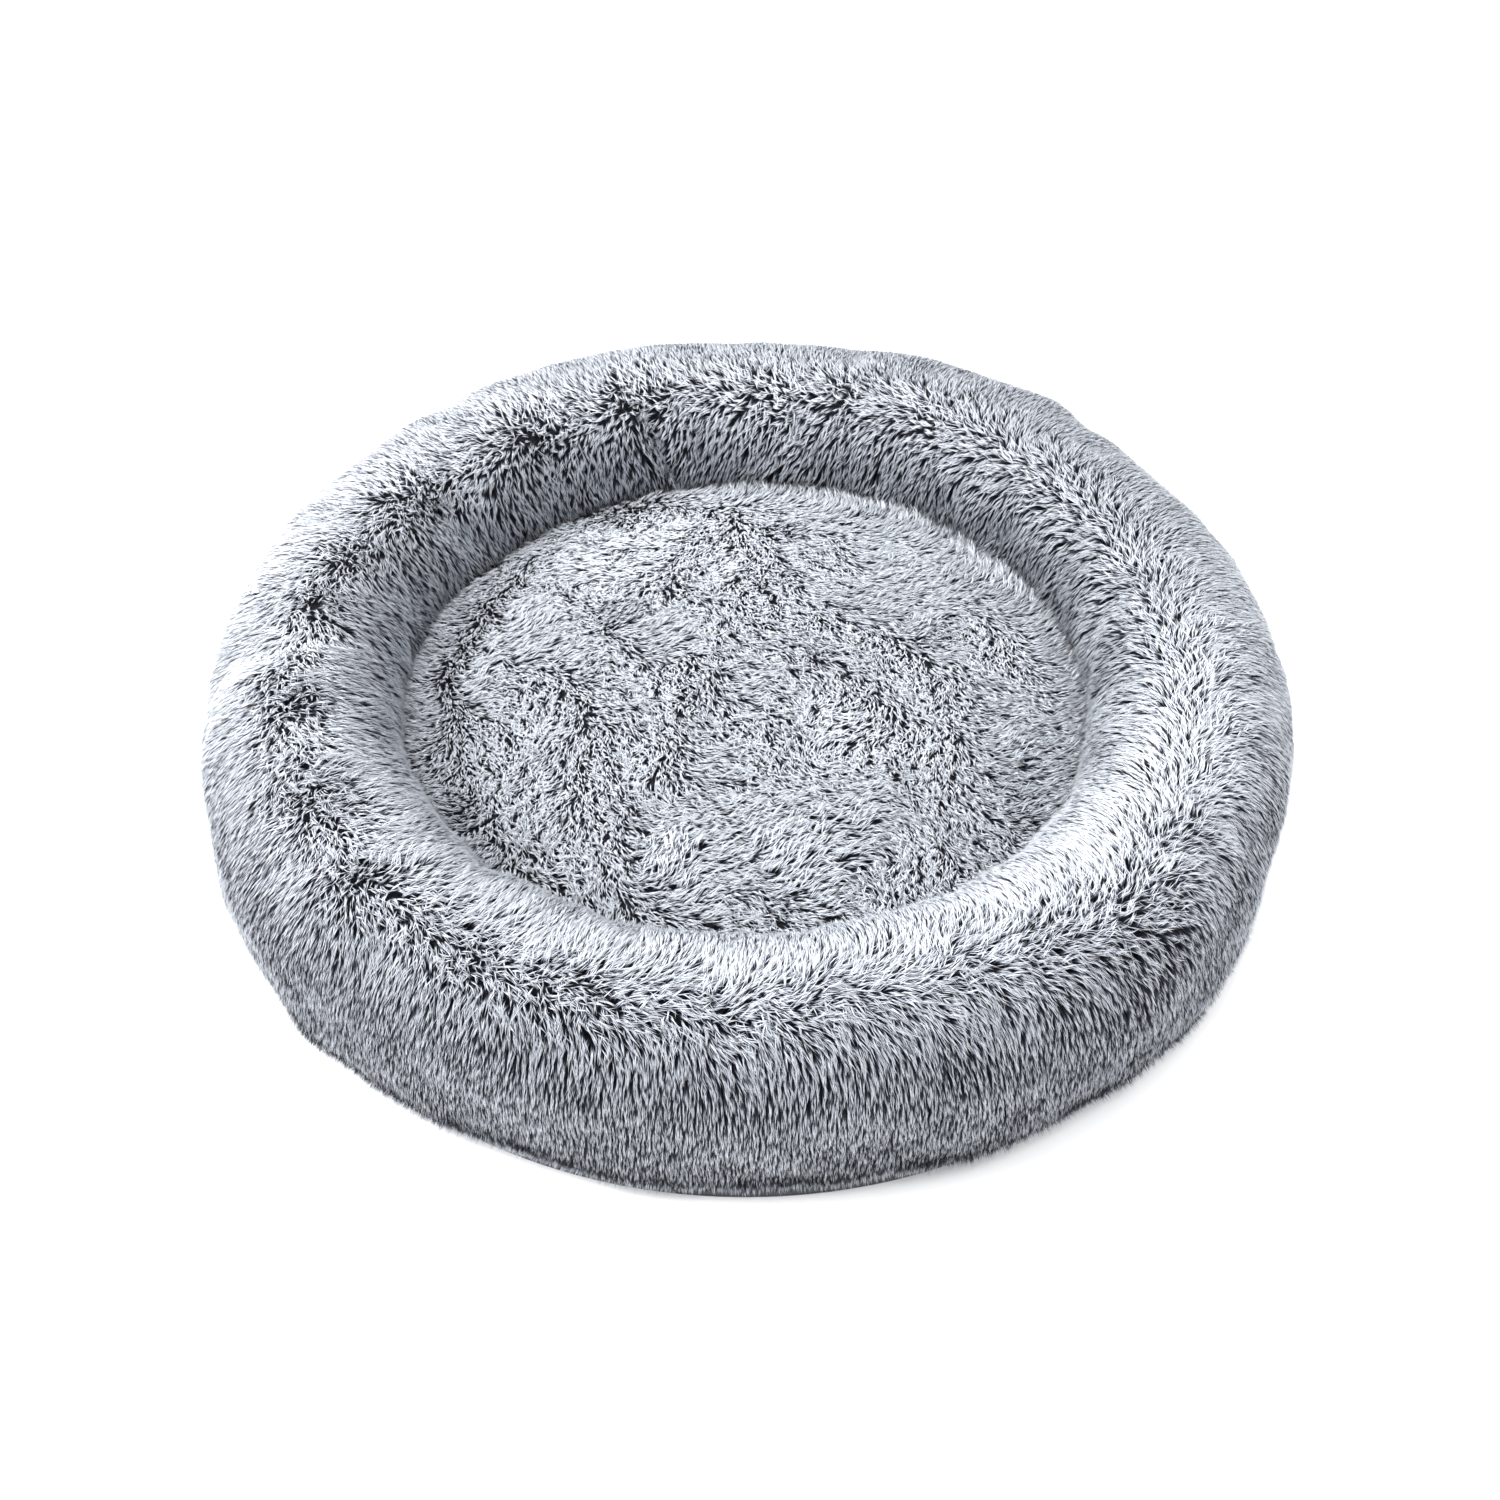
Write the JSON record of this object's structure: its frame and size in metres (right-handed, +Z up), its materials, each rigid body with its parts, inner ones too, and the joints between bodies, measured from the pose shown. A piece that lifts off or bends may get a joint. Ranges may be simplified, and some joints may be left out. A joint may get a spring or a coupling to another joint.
{
  "type": "pet cushion bed",
  "caption": "Round plush pet bed: a fibre-filled ring wall round a domed seat pad, in a removable long-pile fur cover that zips round the back of its base.",
  "frame": {"origin": "centre of the underside, on the floor", "axes": "+Z up through the middle of the seat; -Y towards the front; the zip runs round the back, +Y"},
  "size_m": [0.9, 0.9, 0.18],
  "materials": {
    "ring_fur": "long-pile plush, dark roots and frosted tips",
    "seat_fur": "long-pile plush, dark roots and frosted tips",
    "base_fabric": "coated woven polyester with printed grip dots",
    "label_satin": "blank satin",
    "lining": "plain spunbond cloth",
    "fibre": "loose hollow fibre",
    "zip_tape": "woven tape",
    "zip_coil": "nylon",
    "zip_metal": "plated zinc, lightly worn"
  },
  "bodies": {
    "bed": {"outer_fur_front": "ring_fur", "outer_fur_rear": "ring_fur", "inner_fur_front": "ring_fur", "inner_fur_rear": "ring_fur", "seat_fur": "seat_fur", "base_panel": "base_fabric", "base_seam_binding": "base_fabric", "care_label": "label_satin", "ring_liner_upper": "lining", "ring_liner_lower": "lining", "ring_filling": "fibre", "seat_liner_top": "lining", "seat_liner_bottom": "lining", "seat_filling": "fibre", "zip_tape_upper": "zip_tape", "zip_tape_lower": "zip_tape", "zip_coil_upper": "zip_coil", "zip_coil_lower": "zip_coil", "zip_end_stops": "zip_metal"},
    "zip_slider_body": {"zip_slider": "zip_metal"},
    "zip_pull_body": {"zip_pull": "zip_metal"}
  },
  "joints": [
    {"name": "zip_run", "type": "hinge", "parent": "bed", "child": "zip_slider_body", "pos_m": [0, 0, 0.013], "axis": [0, 0, -1], "range_deg": [0, 140]},
    {"name": "pull_swing", "type": "hinge", "parent": "zip_slider_body", "child": "zip_pull_body", "pos_m": [-0.41439, 0.14674, 0.013], "axis": [0, 0, 1], "range_deg": [0, 170]}
  ]
}
